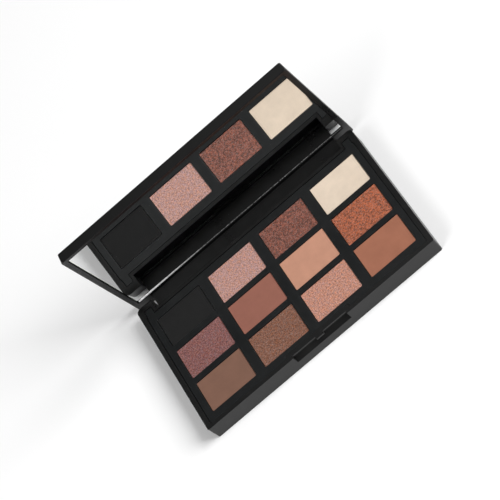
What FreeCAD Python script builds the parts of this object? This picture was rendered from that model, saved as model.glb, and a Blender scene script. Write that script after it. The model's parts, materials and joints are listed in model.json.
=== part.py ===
import FreeCAD, Part
import math
import os
from FreeCAD import Vector

# Eyeshadow palette with twelve pans and a mirrored lid on a rear hinge.
#
# Millimetres, +Z up. The origin is the centre of the base's flat underside.
# +X runs along the hinge, -Y is the front, where the thumb scoop is.
# Every lid piece is modelled closed, then turned about the hinge axis to the open pose,
# where the flat back of the hinge leaf lies on the table.

# ---- base tray ----
WIDTH = 130.0                # X, at the rim
DEPTH = 79.2                 # Y, at the rim
RIM_Z = 9.8                  # top of the tray's rim
BASE_DRAFT = 0.3             # how much smaller the underside is, each side
FRONT_CORNER_R = 0.8
REAR_CORNER_R = 2.6
FLOOR_T = 1.5
SIDE_RIM = 2.6               # rim width beside the insert
FRONT_RIM = 2.1
FOOT_BEVEL = 0.2
RIB_T = 1.2                  # ribs on the tray's floor, which carry the insert
RIB_END_GAP = 4.0            # from a rib's end to the side wall

# ---- insert plate that frames the pans ----
PLATE_Z = 9.6                # its top face
PLATE_T = 1.4
SEAM = 0.12                  # gap all round between insert and tray
PLATE_BEVEL = 0.18
INSERT_REAR_Y = 31.8         # rear edge between the ears
INSERT_EAR_Y = 35.9          # rear edge of the two tabs that reach onto the ears
TAB_X = (57.6, 61.9)         # inner and outer edge of each tab
INSERT_CORNER_R = 0.9
INSERT_STEP_R = 0.5
INSERT_NOTCH_R = 0.3

# ---- pans and powders ----
COLUMNS = 4
ROWS = 3
PITCH_X = 30.7
PITCH_Y = 21.3
GRID_Y = -2.85               # centre of the pan grid
WINDOW_X = 25.7
WINDOW_Y = 18.1
WINDOW_R = 1.0
PAN_GAP = 0.2                # between window and pan
PAN_WALL = 0.2
PAN_FOOT_R = 0.3
PAN_H = 3.2
PAN_SINK = 0.45              # pan rim below the plate's top
POWDER_SINK = 0.04           # powder below the pan rim
POWDER_GAP = 0.03
POWDER_EDGE_R = 0.15
GLUE_R = 4.0
GLUE_T = 0.2
CUP_WALL = 0.9

# ---- hinge ----
AXIS_Y = 36.3
AXIS_Z = 1.65
OPEN_DEG = 79.2
BARREL_R = 1.6
BAY_X = 56.1                 # half length of the bay between the ears
BAY_FRONT_Y = 33.5           # rear face of the wall between the ears
LEAF_X = 55.7                # half length of the lid's hinge leaf
PIN_R = 0.6
PIN_RUNNING = 0.04           # radial clearance in the leaf
PIN_X = (49.0, 62.6)         # inner and outer end of each pin
PIN_CHAMFER = 0.15
PIN_END_GAP = 0.5            # between a pin's inner end and the bottom of its hole
EAR_TOP_R = 8.1              # the ears are rounded about the axis, so that the lid's rim clears them
RECESS_X = 10.4              # half length of the recess in the rear face of the wall between the ears
RECESS_Z = (0.5, 8.5)
RECESS_DEPTH = 1.2
LEDGE_Y = 34.5               # ledge along the foot of that wall, which closes the slot below the barrel
LEDGE_Z = 1.2
LEDGE_R = 0.3

# ---- thumb scoop and catch ----
SCOOP_X = 15.4               # half length
SCOOP_TOP_Y = -38.2          # the rim's front edge above the scoop
SCOOP_BROW_Z = 9.2           # lower edge of the short upright face below the rim
SCOOP_DEEP = (-36.95, 8.1)   # deepest point (Y, Z)
SCOOP_LIP_Z = 5.2            # crisp lower edge on the front wall
SCOOP_DEEP_R = 0.9
SCOOP_BROW_R = 0.35
SCOOP_END_R = 1.0
JOG_X = 18.2                 # half length of the step in the insert behind the scoop
JOG_DEPTH = 1.6
NUB_X = 2.1                  # half length of the catch nub, whose top is flush with the rim
NUB_Y = (-39.5, -37.4)
NUB_Z = 8.6                  # its underside
NUB_EDGE_R = 0.25

# ---- lid ----
LID_GAP = 0.1                # between the closed lid and the rim
LID_T = 5.5
LID_DRAFT = 0.6
LID_CORNER_R = 1.0
LID_EDGE_R = 0.6
LID_HEEL_R = 0.3             # rear edge of the lid's rim, on which the open lid rests
LID_RIM = 2.5                # rim beside the mirror
LID_FRONT_RIM = 2.1
MIRROR_REAR_Y = 32.05        # the mirror's edge next to the hinge, lid closed
MIRROR_SINK = 0.88           # mirror below the lid's rim
MIRROR_T = 1.8
MIRROR_CLEAR = 0.15
MIRROR_R = 0.8
MIRROR_CHAMFER = 0.25
TAPE_T = 0.5
TAPE_INSET = 3.0
LIP_LIFT = 0.3               # the rim beside the leaf is this much higher, to clear the tray's rear wall
LEAF_INNER_Y = (34.05, 34.75)  # inner face of the leaf at the lid and at the barrel, lid closed
LEAF_CORNER_R = 0.7
LEAF_ROOT = (1.2, 0.6)       # how far the leaf's root reaches into the lid along Y and Z, lid closed

PARTS = "parts"
LID_RIM_Z = RIM_Z + LID_GAP
LID_TOP_Z = LID_RIM_Z + LID_T
MIRROR_Z = LID_RIM_Z + MIRROR_SINK
CUP_FLOOR_Z = PLATE_Z - PAN_SINK - PAN_H - GLUE_T
HALF_W = WIDTH / 2
HALF_D = DEPTH / 2
TINY = 0.01                  # overlap that lets two solids fuse
PAST = 1.0                   # how far a cutting shape runs past the faces that it cuts


# ---- helpers ----
def box(x0, x1, y0, y1, z0, z1):
    return Part.makeBox(x1 - x0, y1 - y0, z1 - z0, Vector(x0, y0, z0))


def rounded_wire(corners, plane):
    """Closed wire through corners (u, v, radius), each rounded by a tangent arc. plane maps (u, v) to 3-D."""
    count = len(corners)
    spans = []
    for i, (u, v, radius) in enumerate(corners):
        here = Vector(u, v, 0)
        back = (Vector(corners[i - 1][0], corners[i - 1][1], 0) - here).normalize()
        ahead = (Vector(corners[(i + 1) % count][0], corners[(i + 1) % count][1], 0) - here).normalize()
        if radius == 0:
            spans.append((here, None, here))
            continue
        half = back.getAngle(ahead) / 2
        bisector = (back + ahead).normalize()
        reach = radius / math.tan(half)
        middle = here + bisector * (radius / math.sin(half) - radius)
        spans.append((here + back * reach, middle, here + ahead * reach))
    edges = []
    for i, (start, middle, end) in enumerate(spans):
        if middle is not None:
            edges.append(Part.Arc(plane(start), plane(middle), plane(end)).toShape())
        following = spans[(i + 1) % count][0]
        if (following - end).Length > 1e-6:
            edges.append(Part.LineSegment(plane(end), plane(following)).toShape())
    return Part.Wire(edges)


def level(z):
    return lambda p: Vector(p.x, p.y, z)


def section(x):
    """Plane across the hinge: u is Y and v is Z."""
    return lambda p: Vector(x, p.x, p.y)


def rectangle(x0, x1, y0, y1, front_r, rear_r=None):
    rear_r = front_r if rear_r is None else rear_r
    return [(x0, y0, front_r), (x1, y0, front_r), (x1, y1, rear_r), (x0, y1, rear_r)]


def prism(corners, z0, z1):
    return Part.Face(rounded_wire(corners, level(z0))).extrude(Vector(0, 0, z1 - z0))


def tapered(levels, front_r, rear_r):
    """A block with leaning sides. levels lists (height, inset from the tray's outline), end to end."""
    wires = []
    for z, inset in levels:
        w, d = HALF_W - inset, HALF_D - inset
        wires.append(rounded_wire(rectangle(-w, w, -d, d, front_r, rear_r), level(z)))
    return Part.makeLoft(wires, True, True)


def profile_along_x(corners, x0, x1):
    return Part.Face(rounded_wire(corners, section(x0))).extrude(Vector(x1 - x0, 0, 0))


def rod(radius, x0, x1, y=AXIS_Y, z=AXIS_Z):
    return Part.makeCylinder(radius, x1 - x0, Vector(x0, y, z), Vector(1, 0, 0))


def both_sides(shape):
    return [shape, shape.mirror(Vector(0, 0, 0), Vector(1, 0, 0))]


def edges_at(shape, z, inside=None):
    """Edges that lie wholly at height z, and within a box (x0, x1, y0, y1) if one is given."""
    found = []
    for edge in shape.Edges:
        b = edge.BoundBox
        if abs(b.ZMin - z) > 1e-4 or abs(b.ZMax - z) > 1e-4:
            continue
        within_x = inside is None or inside[0] < b.XMin and b.XMax < inside[1]
        within_y = inside is None or inside[2] < b.YMin and b.YMax < inside[3]
        if within_x and within_y:
            found.append(edge)
    return found


def save(name, shape):
    if not shape.isValid():
        raise ValueError(name + " is not a valid solid")
    shape.exportStep(os.path.join(PARTS, name + ".step"))
    print("%-22s %2d solid  %9.2f mm3" % (name, len(shape.Solids), shape.Volume))


def pan_centres():
    """(column, row, x, y): column 1 is at the left, row 1 at the rear."""
    for row in range(ROWS):
        for column in range(COLUMNS):
            x = (column - (COLUMNS - 1) / 2) * PITCH_X
            y = GRID_Y + ((ROWS - 1) / 2 - row) * PITCH_Y
            yield column + 1, row + 1, x, y


# ---- base ----
def insert_outline(grow):
    """Outline of the insert plate; grow widens it, for the seat in the tray."""
    side = HALF_W - SIDE_RIM - SEAM + grow
    front = -HALF_D + FRONT_RIM + SEAM - grow
    jog_x = JOG_X - grow
    jog_y = front + JOG_DEPTH
    rear = INSERT_REAR_Y - SEAM + grow
    ear = INSERT_EAR_Y - SEAM + grow
    tab_in = TAB_X[0] + SEAM - grow
    tab_out = TAB_X[1] - SEAM + grow
    right = [
        (jog_x, jog_y, INSERT_STEP_R),
        (jog_x, front, INSERT_STEP_R),
        (side, front, INSERT_CORNER_R),
        (side, rear, INSERT_NOTCH_R),
        (tab_out, rear, 0),
        (tab_out, ear, INSERT_STEP_R),
        (tab_in, ear, INSERT_STEP_R),
        (tab_in, rear, 0),
    ]
    left = [(-x, y, r) for x, y, r in reversed(right)]
    return right + left


def scoop_groove():
    """A groove along the front wall: it runs in below the rim's brow and slopes out to a crisp lower lip."""
    lip_y = -HALF_D + BASE_DRAFT * (RIM_Z - SCOOP_LIP_Z) / RIM_Z
    deep_y, deep_z = SCOOP_DEEP
    slope = (deep_z - SCOOP_LIP_Z) / (deep_y - lip_y)
    outside_y = -HALF_D - PAST
    profile = [
        (outside_y, RIM_Z + PAST, 0),
        (outside_y, SCOOP_LIP_Z - slope * (lip_y - outside_y), 0),
        (deep_y, deep_z, SCOOP_DEEP_R),
        (SCOOP_TOP_Y, SCOOP_BROW_Z, SCOOP_BROW_R),
        (SCOOP_TOP_Y, RIM_Z + PAST, 0),
    ]
    groove = profile_along_x(profile, -SCOOP_X, SCOOP_X)
    plan = rectangle(-SCOOP_X, SCOOP_X, outside_y - SCOOP_END_R, deep_y + PAST, SCOOP_END_R)
    return groove.common(prism(plan, 0, RIM_Z + 2 * PAST))


def hinge_bay():
    """The space between the ears, open to the rear and below. A ledge stays along its front wall's foot."""
    profile = [
        (BAY_FRONT_Y, RIM_Z + PAST, 0),
        (BAY_FRONT_Y, LEDGE_Z, LEDGE_R),
        (LEDGE_Y, LEDGE_Z, LEDGE_R),
        (LEDGE_Y, -PAST, 0),
        (HALF_D + PAST, -PAST, 0),
        (HALF_D + PAST, RIM_Z + PAST, 0),
    ]
    return profile_along_x(profile, -BAY_X, BAY_X)


def ear_relief():
    """What is cut from above the ears, so that their tops are round about the hinge axis."""
    block = box(BAY_X - PAST, HALF_W + PAST, AXIS_Y, HALF_D + PAST, AXIS_Z, RIM_Z + PAST)
    return block.cut(rod(EAR_TOP_R, BAY_X - 2 * PAST, HALF_W + 2 * PAST))


def catch_nub():
    nub = box(-NUB_X, NUB_X, *NUB_Y, NUB_Z, RIM_Z)
    return nub.makeFillet(NUB_EDGE_R, [e for e in nub.Edges if abs(e.BoundBox.YMax - NUB_Y[0]) < TINY])


def floor_rib(row):
    half_x = HALF_W - SIDE_RIM - RIB_END_GAP
    y = GRID_Y + (row - (ROWS - 1) / 2) * PITCH_Y
    return box(-half_x, half_x, y - RIB_T / 2, y + RIB_T / 2, FLOOR_T - TINY, CUP_FLOOR_Z - CUP_WALL)


def make_base_shell():
    levels = [(0, BASE_DRAFT + FOOT_BEVEL), (FOOT_BEVEL, BASE_DRAFT), (RIM_Z, 0)]
    shell = tapered(levels, FRONT_CORNER_R, REAR_CORNER_R)
    seat = insert_outline(SEAM)
    shell = shell.cut(prism(seat, PLATE_Z - PLATE_T, RIM_Z + PAST))
    inner_x = HALF_W - SIDE_RIM
    inner = rectangle(-inner_x, inner_x, seat[0][1], INSERT_REAR_Y, INSERT_CORNER_R)
    shell = shell.cut(prism(inner, FLOOR_T, RIM_Z))
    shell = shell.cut(hinge_bay())
    recess_y = BAY_FRONT_Y - RECESS_DEPTH
    shell = shell.cut(box(-RECESS_X, RECESS_X, recess_y, LEDGE_Y + PAST, *RECESS_Z))
    for relief in both_sides(ear_relief()):
        shell = shell.cut(relief)
    shell = shell.cut(scoop_groove()).fuse(catch_nub())
    for row in range(ROWS):
        shell = shell.fuse(floor_rib(row))
    for hole in both_sides(rod(PIN_R, BAY_X - PAST, PIN_X[1])):
        shell = shell.cut(hole)
    return shell.removeSplitter()


def window_outline(x, y, grow):
    half_x = WINDOW_X / 2 + grow
    half_y = WINDOW_Y / 2 + grow
    return rectangle(x - half_x, x + half_x, y - half_y, y + half_y, WINDOW_R + grow)


def make_pan_platform():
    """The insert plate, with a cup below each window in which a pan sits."""
    plate = prism(insert_outline(0), PLATE_Z - PLATE_T, PLATE_Z)
    plate = plate.makeChamfer(PLATE_BEVEL, edges_at(plate, PLATE_Z))
    cups = []
    wells = []
    for _, _, x, y in pan_centres():
        cups.append(prism(window_outline(x, y, CUP_WALL), CUP_FLOOR_Z - CUP_WALL, PLATE_Z - PLATE_T / 2))
        wells.append(prism(window_outline(x, y, 0), CUP_FLOOR_Z, PLATE_Z + PAST))
    body = plate.fuse(cups).cut(Part.makeCompound(wells)).removeSplitter()
    reach_x = ((COLUMNS - 1) * PITCH_X + WINDOW_X) / 2 + TINY
    reach_y = ((ROWS - 1) * PITCH_Y + WINDOW_Y) / 2 + TINY
    around_windows = (-reach_x, reach_x, GRID_Y - reach_y, GRID_Y + reach_y)
    return body.makeFillet(PLATE_BEVEL, edges_at(body, PLATE_Z, around_windows))


def pan_outline(x, y, inset):
    half_x = WINDOW_X / 2 - PAN_GAP - inset
    half_y = WINDOW_Y / 2 - PAN_GAP - inset
    return rectangle(x - half_x, x + half_x, y - half_y, y + half_y, max(WINDOW_R - PAN_GAP - inset, 0.3))


def make_pan(x, y):
    bottom = CUP_FLOOR_Z + GLUE_T
    pan = prism(pan_outline(x, y, 0), bottom, bottom + PAN_H)
    pan = pan.makeFillet(PAN_FOOT_R, edges_at(pan, bottom))
    return pan.cut(prism(pan_outline(x, y, PAN_WALL), bottom + PAN_WALL, bottom + PAN_H + PAST))


def make_powder(x, y):
    bottom = CUP_FLOOR_Z + GLUE_T + PAN_WALL
    top = PLATE_Z - PAN_SINK - POWDER_SINK
    cake = prism(pan_outline(x, y, PAN_WALL + POWDER_GAP), bottom, top)
    return cake.makeFillet(POWDER_EDGE_R, edges_at(cake, top))


def make_glue_dots():
    return Part.makeCompound([
        Part.makeCylinder(GLUE_R, GLUE_T, Vector(x, y, CUP_FLOOR_Z)) for _, _, x, y in pan_centres()
    ])


def make_hinge_pin():
    pin = rod(PIN_R, *PIN_X)
    return pin.makeChamfer(PIN_CHAMFER, [e for e in pin.Edges if e.Curve.TypeId == "Part::GeomCircle"])


# ---- lid, modelled closed ----
def mirror_outline(inset):
    half_x = HALF_W - LID_RIM - inset
    return rectangle(-half_x, half_x, -HALF_D + LID_FRONT_RIM + inset, MIRROR_REAR_Y - inset, MIRROR_R)


def make_leaf():
    """Hinge leaf: a flange down from the lid's rear that ends in the barrel. Its back is flat all the way."""
    lip_z = LID_RIM_Z + LIP_LIFT
    tilt = math.radians(90 - OPEN_DEG)
    back_low = (AXIS_Y + BARREL_R * math.cos(tilt), AXIS_Z - BARREL_R * math.sin(tilt))
    back_high_y = back_low[0] + (LID_RIM_Z - back_low[1]) * math.tan(tilt)
    root_y = LEAF_INNER_Y[0] - LEAF_ROOT[0]
    root_z = LID_RIM_Z + LEAF_ROOT[1]
    profile = [
        (root_y, root_z, 0),
        (root_y, lip_z, 0),
        (LEAF_INNER_Y[0], lip_z, LEAF_CORNER_R),
        (LEAF_INNER_Y[1], AXIS_Z, 0),
        (back_low[0], back_low[1], 0),
        (back_high_y, LID_RIM_Z, 0),
        (back_high_y, root_z, 0),
    ]
    return profile_along_x(profile, -LEAF_X, LEAF_X).fuse(rod(BARREL_R, -LEAF_X, LEAF_X))


def make_lid_shell():
    lid = tapered([(LID_RIM_Z, 0), (LID_TOP_Z, LID_DRAFT)], LID_CORNER_R, LID_CORNER_R)
    lid = lid.makeFillet(LID_EDGE_R, edges_at(lid, LID_TOP_Z))
    lid = lid.makeFillet(LID_HEEL_R, edges_at(lid, LID_RIM_Z, (-HALF_W, HALF_W, 0, HALF_D + PAST)))
    recess_top = MIRROR_Z + MIRROR_T + TAPE_T
    lid = lid.cut(prism(mirror_outline(0), LID_RIM_Z - PAST, recess_top))
    lip = box(-LEAF_X, LEAF_X, MIRROR_REAR_Y - PAST, LEAF_INNER_Y[0], LID_RIM_Z - PAST, LID_RIM_Z + LIP_LIFT)
    lid = lid.cut(lip)
    lid = lid.fuse(make_leaf())
    for hole in both_sides(rod(PIN_R + PIN_RUNNING, PIN_X[0] - PIN_END_GAP, LEAF_X + PAST)):
        lid = lid.cut(hole)
    return lid.removeSplitter()


def make_mirror():
    glass = prism(mirror_outline(MIRROR_CLEAR), MIRROR_Z, MIRROR_Z + MIRROR_T)
    return glass.makeChamfer(MIRROR_CHAMFER, edges_at(glass, MIRROR_Z))


def make_mirror_tape():
    z = MIRROR_Z + MIRROR_T
    return prism(mirror_outline(TAPE_INSET), z, z + TAPE_T)


def opened(shape):
    """Turns a closed lid piece back about the hinge axis to the open pose."""
    turned = shape.copy()
    turned.rotate(Vector(0, AXIS_Y, AXIS_Z), Vector(1, 0, 0), -OPEN_DEG)
    return turned


def main():
    os.makedirs(PARTS, exist_ok=True)
    save("base_shell", make_base_shell())
    save("pan_platform", make_pan_platform())
    for column, row, x, y in pan_centres():
        save("pan_row%d_col%d" % (row, column), make_pan(x, y))
        save("powder_row%d_col%d" % (row, column), make_powder(x, y))
    save("pan_glue_dots", make_glue_dots())
    right_pin, left_pin = both_sides(make_hinge_pin())
    save("hinge_pin_right", right_pin)
    save("hinge_pin_left", left_pin)
    save("lid_shell", opened(make_lid_shell()))
    save("mirror_glass", opened(make_mirror()))
    save("mirror_tape", opened(make_mirror_tape()))


main()
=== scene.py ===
import json
import math

import bmesh
import bpy
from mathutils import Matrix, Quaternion, Vector, noise


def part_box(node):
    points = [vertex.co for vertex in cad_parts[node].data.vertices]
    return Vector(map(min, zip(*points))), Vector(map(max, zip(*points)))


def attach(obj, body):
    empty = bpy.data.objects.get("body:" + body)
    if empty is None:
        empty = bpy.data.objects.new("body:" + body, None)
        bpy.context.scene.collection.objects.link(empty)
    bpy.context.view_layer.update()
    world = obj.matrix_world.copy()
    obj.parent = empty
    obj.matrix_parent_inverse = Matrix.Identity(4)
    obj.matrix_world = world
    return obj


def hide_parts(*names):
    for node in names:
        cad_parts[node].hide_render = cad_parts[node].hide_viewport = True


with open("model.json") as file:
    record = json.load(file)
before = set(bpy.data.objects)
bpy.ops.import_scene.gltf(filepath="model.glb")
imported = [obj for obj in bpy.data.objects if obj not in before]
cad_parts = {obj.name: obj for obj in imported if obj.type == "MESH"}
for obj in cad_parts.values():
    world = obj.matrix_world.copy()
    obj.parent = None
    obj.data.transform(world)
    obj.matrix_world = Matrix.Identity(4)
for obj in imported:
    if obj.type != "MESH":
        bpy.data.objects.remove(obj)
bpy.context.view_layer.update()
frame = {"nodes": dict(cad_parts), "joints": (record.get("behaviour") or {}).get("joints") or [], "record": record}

MM = 0.001

# ---- camera: angles in degrees, distance in metres, lens in mm ----
AIM = Vector((-2.63, 14.53, 20.0)) * MM
AZIMUTH = 12.65
ELEVATION = 49.83
ROLL = -50.28
DISTANCE = 1.02728
LENS = 165.5
SENSOR_WIDTH = 36
CLIP = (0.05, 50)

# ---- studio ----
WORLD_STRENGTH = 0.15
FLOOR_HALF = 12
FLOOR_WHITE = 0.96
# name, place (m), width and height (m), power (W)
LIGHTS = [
    ("key_right", (1.35, -0.35, 1.15), (1.2, 1.2), 38),
    ("fill_left", (-1.3, -0.6, 1.1), (1.3, 1.3), 17),
    ("rear_card", (0.35, 1.15, 1.25), (1.3, 0.9), 2.0),
]

# ---- black plastic: shade, roughness, grain (mm), grain strength, coolness ----
PLASTICS = {
    "base_plastic": (0.005, 0.34, 0.12, 0.25, 0.0),
    "lid_plastic": (0.004, 0.3, 0.12, 0.25, 0.0),
    "platform_plastic": (0.005, 0.46, 0.16, 0.5, 0.15),
}
PLASTIC_IOR = 1.42
CLOUD_MM = 9
RUBBED_MM = 0.25              # width of the rubbed band along edges
SCRATCH_TURN = (0.3, 0.2, 0.7)
SCRATCH_SCALE = (60, 2600, 900)

# ---- powders: linear colours ----
SHADES = {
    "powder_black_matte": (0.012, 0.012, 0.012),
    "powder_pink_champagne_shimmer": (0.34, 0.18, 0.15),
    "powder_mauve_brown_glitter": (0.1, 0.03, 0.018),
    "powder_cream_matte": (0.66, 0.55, 0.44),
    "powder_plum_shimmer": (0.14, 0.05, 0.045),
    "powder_rosy_brown_matte": (0.27, 0.11, 0.08),
    "powder_peach_nude_matte": (0.49, 0.25, 0.17),
    "powder_copper_glitter": (0.21, 0.054, 0.021),
    "powder_taupe_brown_matte": (0.19, 0.1, 0.07),
    "powder_bronze_brown_shimmer": (0.13, 0.05, 0.027),
    "powder_rose_gold_shimmer": (0.37, 0.17, 0.12),
    "powder_terracotta_matte": (0.32, 0.13, 0.08),
}
# depth of the grain on a cake's face
RELIEF = {"matte": 0.015 * MM, "shimmer": 0.03 * MM, "glitter": 0.05 * MM}
# flake size, clump size (mm), contrast between light and dark
GLINT = {"shimmer": (0.16, 0.7, 0.85), "glitter": (0.2, 0.8, 1.1)}
FLAKE_LEAN = 0.6
FLAKE_METAL = 0.25
FLAKE_SHARE = 0.35            # the rest of the light and dark pattern comes from the clumps
MIDDLE_TONE = 0.25            # darker shades than this get more contrast, lighter ones less
TONE_POWER = 0.4
POWDER_GRAIN_MM = 0.25

# ---- powder cakes ----
CELL = 0.24 * MM
CAKE_CORNER = 0.5 * MM
CAKE_BORDER = 0.6 * MM
CAKE_DISH = 0.16 * MM
CAKE_LAP = 0.22 * MM          # how far the cake's border lies over the pan's rim
CAKE_SEAT = 0.04 * MM         # the pan's rim above the CAD powder
CAKE_TOP = 0.14 * MM          # the cake's border above the CAD powder
ROLL_OFF = 0.12 * MM          # width of the rounded outer edge
ROLL_DROP = 0.05 * MM
CRUMB_ZONE = 0.5 * MM         # crumbs are lost only this near to the edge
CRUMB_DEPTH = 0.18 * MM
CRUMB_LIMIT = 0.25            # crumbs are lost where the noise is above this
CRUMBS_PER_MM = 1.7
FINE_PER_MM = 3.4             # fine and coarse grain on a cake's face
COARSE_PER_MM = 1.1
SEED_STEP = 60                # mm between the noise of one cake and the next
MERGE = 0.01 * MM

# ---- sealant along the mirror's lower edge ----
BEAD_INSET = 0.6 * MM
BEAD_LEFT = 0.5 * MM          # its size at the left end
BEAD_RIGHT = 0.2 * MM         # and from the end of the taper to the right end
BEAD_TAPER = 0.7              # the taper's length, as a part of the mirror's half length
BEAD_WAVE = 0.12              # how far its size wanders, as a part of the size
BEAD_WAVES_PER_MM = 0.6
BEAD_STEPS = 160
BEAD_ARC = 5
PAINTED_HIGHLIGHT_FULL_X = -62 * MM            # the sealant's painted highlight is at its brightest up to here
PAINTED_HIGHLIGHT_FADED_X = -20 * MM            # and has faded to a faint grey from here on


class Shader:
    """A Principled material that is built up one named node at a time, in object coordinates."""

    def __init__(self, name):
        self.material = bpy.data.materials.new(name)
        self.material.use_nodes = True
        self.tree = self.material.node_tree
        self.main = self.tree.nodes["Principled BSDF"]
        self.coordinates = self.tree.nodes.new("ShaderNodeTexCoord").outputs["Object"]

    def set(self, socket, value):
        self.main.inputs[socket].default_value = value

    def link(self, output, socket):
        self.tree.links.new(output, self.main.inputs[socket])

    def add(self, kind, settings=None, **inputs):
        """A new node. An input is given by its name, or as i0, i1 ... by its number."""
        node = self.tree.nodes.new(kind)
        for key, value in (settings or {}).items():
            setattr(node, key, value)
        for key, value in inputs.items():
            by_number = key[0] == "i" and key[1:].isdigit()
            socket = node.inputs[int(key[1:]) if by_number else key]
            if isinstance(value, bpy.types.NodeSocket):
                self.tree.links.new(value, socket)
            else:
                socket.default_value = value
        return node

    def noise(self, size_mm, detail=3.0, roughness=0.55):
        node = self.add("ShaderNodeTexNoise", Vector=self.coordinates, Scale=1 / (size_mm * MM),
                        Detail=detail, Roughness=roughness)
        return node.outputs["Fac"]

    def streaks(self, scale, detail, turn=(0, 0, 0)):
        """Noise with its own scale along each axis, then turned."""
        stretched = self.add("ShaderNodeMapping", Vector=self.coordinates, Rotation=turn, Scale=scale)
        node = self.add("ShaderNodeTexNoise", Vector=stretched.outputs[0], Scale=1.0, Detail=detail)
        return node.outputs["Fac"]

    def voronoi(self, size_mm):
        return self.add("ShaderNodeTexVoronoi", Vector=self.coordinates, Scale=1 / (size_mm * MM))

    def ramp(self, value, low, high, to_low=0.0, to_high=1.0):
        node = self.add("ShaderNodeMapRange", {"clamp": True},
                        i0=value, i1=low, i2=high, i3=to_low, i4=to_high)
        return node.outputs["Result"]

    def math(self, operation, a, b):
        return self.add("ShaderNodeMath", {"operation": operation}, i0=a, i1=b).outputs[0]

    def vector(self, operation, a, **inputs):
        return self.add("ShaderNodeVectorMath", {"operation": operation}, i0=a, **inputs).outputs

    def mix(self, factor, a, b):
        return self.add("ShaderNodeMix", {"data_type": "RGBA"}, i0=factor, i6=a, i7=b).outputs[2]

    def bump(self, height, strength, distance_mm, **inputs):
        node = self.add("ShaderNodeBump", Height=height, Strength=strength, Distance=distance_mm * MM,
                        **inputs)
        return node.outputs["Normal"]

    def edge_mask(self, radius_mm):
        """1 along sharp edges, 0 on flat faces: how far a rounded normal turns from the true one."""
        rounded = self.add("ShaderNodeBevel", {"samples": 4}, Radius=radius_mm * MM).outputs["Normal"]
        flat = self.add("ShaderNodeNewGeometry").outputs["Normal"]
        alike = self.vector("DOT_PRODUCT", rounded, i1=flat)["Value"]
        return self.ramp(self.math("SUBTRACT", 1.0, alike), 0.02, 0.25)


def grey(value, cool=0.0):
    return (value * (1 - cool), value, value * (1 + 0.5 * cool), 1)


def tinted(colour, factor, warmth=0.0):
    """The colour made lighter or darker, and with more red and less blue, or the reverse."""
    red, green, blue = colour
    return (red * factor * (1 + warmth), green * factor, blue * factor * (1 - 1.6 * warmth), 1)


# ---- materials ----
def moulded_plastic(name, shade, roughness, grain_mm, grain_strength, cool):
    """Black moulded plastic: spark-eroded grain, cloudy gloss, faint rubbed edges and a few scratches."""
    s = Shader(name)
    cloud = s.noise(CLOUD_MM, 4)
    grain = s.noise(grain_mm, 2, 0.6)
    edge = s.edge_mask(RUBBED_MM)
    scratch = s.ramp(s.streaks(SCRATCH_SCALE, 2.0, SCRATCH_TURN), 0.71, 0.76)
    base = s.mix(s.ramp(cloud, 0.35, 0.7), grey(shade * 0.88, cool), grey(shade * 1.12, cool))
    rubbed = s.mix(s.math("MULTIPLY", edge, 0.5), base, grey(shade * 2.6, cool))
    s.link(s.mix(s.math("MULTIPLY", scratch, 0.12), rubbed, grey(shade * 4, cool)), "Base Color")
    rough = s.ramp(cloud, 0.3, 0.75, roughness - 0.04, roughness + 0.05)
    rough = s.math("SUBTRACT", rough, s.math("MULTIPLY", edge, 0.1))
    s.link(s.math("ADD", rough, s.math("MULTIPLY", scratch, 0.08)), "Roughness")
    s.set("IOR", PLASTIC_IOR)
    fine = s.bump(grain, grain_strength, 0.03)
    s.link(s.bump(scratch, 0.08, 0.01, Normal=fine), "Normal")
    return s.material


def pan_metal():
    """Thin drawn metal: upright drawing lines and patchy tarnish."""
    s = Shader("pan_metal")
    drawn = s.streaks((900, 900, 9000), 3.0)
    tarnish = s.noise(3.5, 4)
    s.link(s.mix(s.ramp(tarnish, 0.4, 0.7), (0.72, 0.72, 0.73, 1), (0.55, 0.54, 0.53, 1)), "Base Color")
    s.set("Metallic", 1.0)
    s.link(s.ramp(tarnish, 0.3, 0.7, 0.28, 0.42), "Roughness")
    s.link(s.bump(drawn, 0.12, 0.02), "Normal")
    return s.material


def mirror_silver():
    """Silvered glass with a faint smear and a little dust."""
    s = Shader("mirror")
    smear = s.noise(14, 5, 0.6)
    speck = s.ramp(s.voronoi(2.2).outputs["Distance"], 0.035, 0.05, 1.0, 0.0)
    s.link(s.mix(speck, (0.96, 0.965, 0.96, 1), (0.8, 0.8, 0.8, 1)), "Base Color")
    s.link(s.math("SUBTRACT", 1.0, s.math("MULTIPLY", speck, 0.12)), "Metallic")
    s.link(s.ramp(smear, 0.45, 0.8, 0.0, 0.03), "Roughness")
    s.link(s.bump(smear, 0.02, 0.01), "Normal")
    return s.material


def drawn_steel():
    """Steel wire with drawing lines along X."""
    s = Shader("pin_steel")
    lines = s.streaks((400, 9000, 9000), 2.0)
    s.link(s.mix(lines, (0.42, 0.42, 0.43, 1), (0.66, 0.66, 0.67, 1)), "Base Color")
    s.set("Metallic", 1.0)
    s.link(s.ramp(lines, 0.3, 0.7, 0.22, 0.4), "Roughness")
    s.link(s.bump(lines, 0.2, 0.01), "Normal")
    return s.material


def foam_tape():
    """White foam with small open cells."""
    s = Shader("mirror_tape")
    cells = s.voronoi(0.25).outputs["Distance"]
    s.link(s.mix(cells, (0.62, 0.62, 0.6, 1), (0.8, 0.8, 0.77, 1)), "Base Color")
    s.link(s.ramp(s.noise(2, 3), 0.3, 0.7, 0.8, 0.95), "Roughness")
    s.link(s.bump(cells, 0.6, 0.08), "Normal")
    return s.material


def hot_glue():
    """Slightly clear, yellowish glue with a rippled skin."""
    s = Shader("glue")
    ripple = s.noise(1.5, 3)
    s.link(s.mix(ripple, (0.7, 0.66, 0.55, 1), (0.85, 0.83, 0.76, 1)), "Base Color")
    s.link(s.ramp(ripple, 0.3, 0.7, 0.25, 0.45), "Roughness")
    s.set("Transmission Weight", 0.3)
    s.link(s.bump(ripple, 0.5, 0.1), "Normal")
    return s.material


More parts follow.
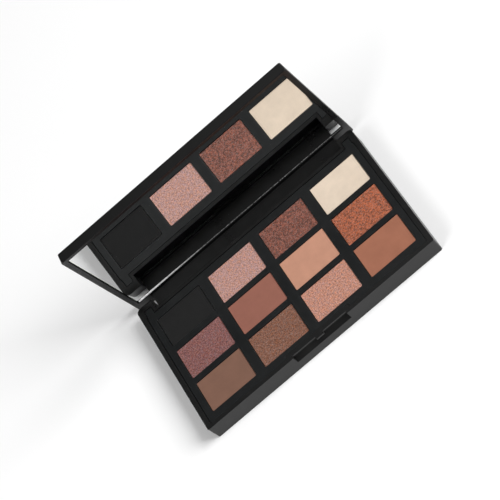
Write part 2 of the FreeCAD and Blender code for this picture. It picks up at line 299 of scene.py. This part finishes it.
def sealant_with_painted_highlight():
    """Thin sealant with a painted highlight in its colour: light at the line's thick left end, fading to dark grey
    towards the right where the line runs out.
    """
    s = Shader("sealant_with_painted_highlight")
    across = s.add("ShaderNodeSeparateXYZ", Vector=s.coordinates).outputs["X"]
    beads = s.ramp(s.noise(1.3, 3), 0.38, 0.62, -0.12, 0.12)
    # painted highlight: the colour goes from light at the left end to dark grey towards the right; the added noise
    # is the sealant's own uneven tone
    painted_highlight = s.math("ADD", s.ramp(across, PAINTED_HIGHLIGHT_FULL_X, PAINTED_HIGHLIGHT_FADED_X, 0.85, 0.14), beads)
    s.link(s.add("ShaderNodeCombineColor", i0=painted_highlight, i1=painted_highlight, i2=painted_highlight).outputs[0], "Base Color")
    s.link(s.ramp(s.noise(0.6, 2), 0.3, 0.7, 0.2, 0.4), "Roughness")
    s.link(s.bump(s.noise(0.5, 3), 0.4, 0.05), "Normal")
    return s.material


def matte_powder(name, colour):
    """Pressed powder with fine grain and faint patches."""
    s = Shader(name)
    grain = s.noise(POWDER_GRAIN_MM, 3, 0.7)
    patch = s.ramp(s.noise(6, 3), 0.3, 0.7)
    body = s.mix(patch, tinted(colour, 0.94), tinted(colour, 1.06))
    dark = s.math("MULTIPLY", s.ramp(grain, 0.45, 0.75), 0.2)
    s.link(s.mix(dark, body, tinted(colour, 0.72)), "Base Color")
    s.link(s.ramp(grain, 0.3, 0.7, 0.86, 0.96), "Roughness")
    s.set("Specular IOR Level", 0.12)
    s.set("Sheen Weight", 0.03)
    s.link(s.bump(grain, 0.3, 0.04), "Normal")
    return s.material


def pearl_powder(name, colour, flake_mm, clump_mm, contrast):
    """Pressed powder with leaning pearl flakes that lie in lighter and darker clumps."""
    s = Shader(name)
    contrast *= (MIDDLE_TONE / (sum(colour) / 3)) ** TONE_POWER
    hue = s.ramp(s.noise(1.4 * clump_mm, 2), 0.35, 0.65)
    body = s.mix(hue, tinted(colour, 0.98, 0.12), tinted(colour, 1.02, -0.12))
    flakes = s.voronoi(flake_mm).outputs["Color"]
    pick = s.add("ShaderNodeSeparateColor", Color=flakes).outputs
    clump = s.ramp(s.noise(clump_mm, 2, 0.7), 0.35, 0.65)
    level = s.math("ADD", s.math("MULTIPLY", pick["Green"], FLAKE_SHARE),
                   s.math("MULTIPLY", clump, 1 - FLAKE_SHARE))
    shade = s.ramp(level, 0.15, 0.85, 1 / (1 + contrast), 1 + contrast)
    speckled = s.vector("SCALE", body, i3=shade)[0]
    pale = s.ramp(s.noise(0.6 * clump_mm, 2, 0.7), 0.53, 0.65, 0.0, 0.6)
    light = tuple(min(1, 1.1 * c + 0.22) for c in colour) + (1,)
    s.link(s.mix(pale, speckled, light), "Base Color")
    chosen = s.ramp(pick["Red"], 0.5, 0.55)
    s.link(s.math("MULTIPLY", chosen, FLAKE_METAL), "Metallic")
    s.link(s.ramp(chosen, 0.0, 1.0, 0.7, 0.42), "Roughness")
    lean = s.vector("SUBTRACT", flakes, i1=(0.5, 0.5, 0.5))[0]
    lean = s.vector("SCALE", lean, i3=s.math("MULTIPLY", chosen, FLAKE_LEAN))[0]
    grain = s.noise(POWDER_GRAIN_MM, 3, 0.7)
    tipped = s.vector("ADD", s.bump(grain, 0.5, 0.08), i1=lean)[0]
    s.link(s.vector("NORMALIZE", tipped)[0], "Normal")
    return s.material


def kind_of(slot):
    """matte, shimmer or glitter: the last word of a powder's material slot."""
    return slot.split("_")[-1]


def powder(slot):
    kind = kind_of(slot)
    if kind == "matte":
        return matte_powder(slot, SHADES[slot])
    return pearl_powder(slot, SHADES[slot], *GLINT[kind])


def make_materials():
    """Every material by its slot in the record."""
    made = {name: moulded_plastic(name, *values) for name, values in PLASTICS.items()}
    made.update(mirror=mirror_silver(), mirror_tape=foam_tape(), glue=hot_glue(), pan_metal=pan_metal(),
                pin_steel=drawn_steel())
    made.update((slot, powder(slot)) for slot in SHADES)
    return made


# ---- pieces ----
def add_object(name, data):
    made = bpy.data.objects.new(name, data)
    bpy.context.scene.collection.objects.link(made)
    return made


def mesh_piece(name, bm, material):
    """An object from a closed bmesh, which is used up."""
    bmesh.ops.recalc_face_normals(bm, faces=bm.faces)
    mesh = bpy.data.meshes.new(name)
    bm.to_mesh(mesh)
    bm.free()
    mesh.materials.append(material)
    return add_object(name, mesh)


def round_corner(x, y, half_x, half_y, radius):
    """Pulls a point that lies in a corner back onto the rounded outline."""
    dx, dy = abs(x) - (half_x - radius), abs(y) - (half_y - radius)
    far = math.hypot(dx, dy)
    if dx <= 0 or dy <= 0 or far <= radius:
        return x, y
    return (math.copysign(half_x - radius + dx / far * radius, x),
            math.copysign(half_y - radius + dy / far * radius, y))


def cake_top(x, y, half_x, half_y, relief, seed):
    """Height, at most 0: a dish with a raised border, tool grain and a few lost crumbs."""
    edge = min(half_x - abs(x), half_y - abs(y))
    dish = min(1.0, max(0.0, (edge - ROLL_OFF) / CAKE_BORDER))
    dish = dish * dish * (3 - 2 * dish)
    fall = max(0.0, 1 - edge / ROLL_OFF)
    place = Vector((x / MM + SEED_STEP * seed, y / MM, seed))
    grain = noise.noise(place * FINE_PER_MM) * 0.6 + noise.noise(place * COARSE_PER_MM) * 0.4
    crumb = max(0.0, noise.noise(place * CRUMBS_PER_MM) - CRUMB_LIMIT) * max(0.0, 1 - edge / CRUMB_ZONE)
    return -CAKE_DISH * dish - ROLL_DROP * fall - relief * (0.5 + 0.5 * grain) - CRUMB_DEPTH * crumb


def extend_border(bm, move):
    """Extrudes the open border of the mesh once, and moves each new point."""
    border = [e for e in bm.edges if e.is_boundary]
    made = bmesh.ops.extrude_edge_only(bm, edges=border)["geom"]
    for vert in (v for v in made if isinstance(v, bmesh.types.BMVert)):
        move(vert.co)


def make_cake(node, material, slot, seed):
    """A powder cake in place of its CAD node. Its border laps over the pan's rim."""
    low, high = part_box(node)
    centre = (low + high) / 2
    body_x, body_y = (high.x - low.x) / 2, (high.y - low.y) / 2
    half_x, half_y = body_x + CAKE_LAP, body_y + CAKE_LAP
    relief = RELIEF[kind_of(slot)]

    def to_rim(point):
        point.z = high.z + CAKE_SEAT

    def inwards(point):
        point.x = centre.x + (point.x - centre.x) * body_x / half_x
        point.y = centre.y + (point.y - centre.y) * body_y / half_y

    def to_bottom(point):
        point.z = low.z

    count_x, count_y = round(2 * half_x / CELL), round(2 * half_y / CELL)
    bm = bmesh.new()
    top = []
    for j in range(count_y + 1):
        for i in range(count_x + 1):
            x = -half_x + 2 * half_x * i / count_x
            y = -half_y + 2 * half_y * j / count_y
            x, y = round_corner(x, y, half_x, half_y, CAKE_CORNER)
            z = high.z + CAKE_TOP + cake_top(x, y, half_x, half_y, relief, seed)
            top.append(bm.verts.new((centre.x + x, centre.y + y, z)))
    row = count_x + 1
    for j in range(count_y):
        for i in range(count_x):
            corners = (j * row + i, j * row + i + 1, (j + 1) * row + i + 1, (j + 1) * row + i)
            bm.faces.new([top[k] for k in corners])
    bmesh.ops.remove_doubles(bm, verts=bm.verts, dist=MERGE)
    for move in (to_rim, inwards, to_bottom):
        extend_border(bm, move)
    bmesh.ops.holes_fill(bm, edges=[e for e in bm.edges if e.is_boundary])
    cake = mesh_piece(node + "_cake", bm, material)
    cake.data.shade_smooth()
    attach(cake, "base")
    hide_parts(node)


def make_mirror_bead(material):
    """A quarter-round line of sealant in the corner below the mirror, thickest at its left end."""
    open_angle = math.radians(-frame["joints"][0]["range_deg"][0])
    up = Vector((0, -math.cos(open_angle), math.sin(open_angle)))
    out = Vector((0, -math.sin(open_angle), -math.cos(open_angle)))
    glass = [v.co for v in frame["nodes"]["mirror_glass"].data.vertices]
    foot = up * min(p.dot(up) for p in glass) + out * max(p.dot(out) for p in glass)
    half = max(p.x for p in glass) - BEAD_INSET
    bm = bmesh.new()
    rings = []
    for i in range(BEAD_STEPS + 1):
        x = half * (2 * i / BEAD_STEPS - 1)
        thin = min(1.0, (x + half) / (BEAD_TAPER * half))
        size = BEAD_LEFT + (BEAD_RIGHT - BEAD_LEFT) * thin
        size *= 1 + BEAD_WAVE * noise.noise(Vector((x / MM * BEAD_WAVES_PER_MM, 0, 0)))
        corner = Vector((x, 0, 0)) + foot
        ring = [bm.verts.new(corner)]
        for k in range(BEAD_ARC + 1):
            turn = math.radians(90 * k / BEAD_ARC)
            point = corner + up * (size * math.cos(turn)) + out * (size * math.sin(turn))
            ring.append(bm.verts.new(point))
        rings.append(ring)
    count = BEAD_ARC + 2
    for here, following in zip(rings, rings[1:]):
        for k in range(count):
            bm.faces.new((here[k], here[(k + 1) % count], following[(k + 1) % count], following[k]))
    bm.faces.new(rings[0])
    bm.faces.new(rings[-1])
    bead = mesh_piece("mirror_sealant", bm, material)
    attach(bead, "lid")


def dress(node, material):
    """Gives a CAD node its material."""
    mesh = frame["nodes"][node].data
    mesh.materials.clear()
    mesh.materials.append(material)


# ---- studio ----
def look_along(thing, direction):
    """Turns a light or camera to look along a direction, level with the floor."""
    thing.rotation_mode = "QUATERNION"
    thing.rotation_quaternion = direction.to_track_quat("-Z", "Y")


def make_camera():
    azimuth, elevation = math.radians(AZIMUTH), math.radians(ELEVATION)
    back = Vector((math.sin(azimuth) * math.cos(elevation), -math.cos(azimuth) * math.cos(elevation),
                   math.sin(elevation)))
    camera = add_object("camera", bpy.data.cameras.new("camera"))
    camera.data.lens = LENS
    camera.data.sensor_width = SENSOR_WIDTH
    camera.data.clip_start, camera.data.clip_end = CLIP
    camera.location = AIM + back * DISTANCE
    look_along(camera, -back)
    camera.rotation_quaternion = camera.rotation_quaternion @ Quaternion((0, 0, 1), math.radians(ROLL))
    bpy.context.scene.camera = camera


def area_light(name, place, size, watts):
    data = bpy.data.lights.new(name, "AREA")
    data.shape = "RECTANGLE"
    data.size, data.size_y = size
    data.energy = watts
    light = add_object(name, data)
    light.location = place
    look_along(light, -Vector(place))


def make_world():
    world = bpy.data.worlds.new("studio")
    world.use_nodes = True
    background = world.node_tree.nodes["Background"].inputs
    background["Color"].default_value = (1, 1, 1, 1)
    background["Strength"].default_value = WORLD_STRENGTH
    bpy.context.scene.world = world


def make_floor():
    mesh = bpy.data.meshes.new("floor")
    corners = [(x * FLOOR_HALF, y * FLOOR_HALF, 0) for x, y in ((-1, -1), (1, -1), (1, 1), (-1, 1))]
    mesh.from_pydata(corners, [], [(0, 1, 2, 3)])
    floor = add_object("floor", mesh)
    shader = Shader("floor_white")
    shader.set("Base Color", grey(FLOOR_WHITE))
    shader.set("Roughness", 0.9)
    shader.set("Specular IOR Level", 0.0)
    mesh.materials.append(shader.material)


def main():
    bpy.context.scene.view_settings.view_transform = "Standard"
    materials = make_materials()
    for seed, part in enumerate(frame["record"]["subparts"]):
        node, slot = part["node"], part["material_slot"]
        if slot in SHADES:
            make_cake(node, materials[slot], slot, seed)
        else:
            dress(node, materials[slot])
    make_mirror_bead(sealant_with_painted_highlight())
    make_world()
    make_floor()
    for light in LIGHTS:
        area_light(*light)
    make_camera()


main()
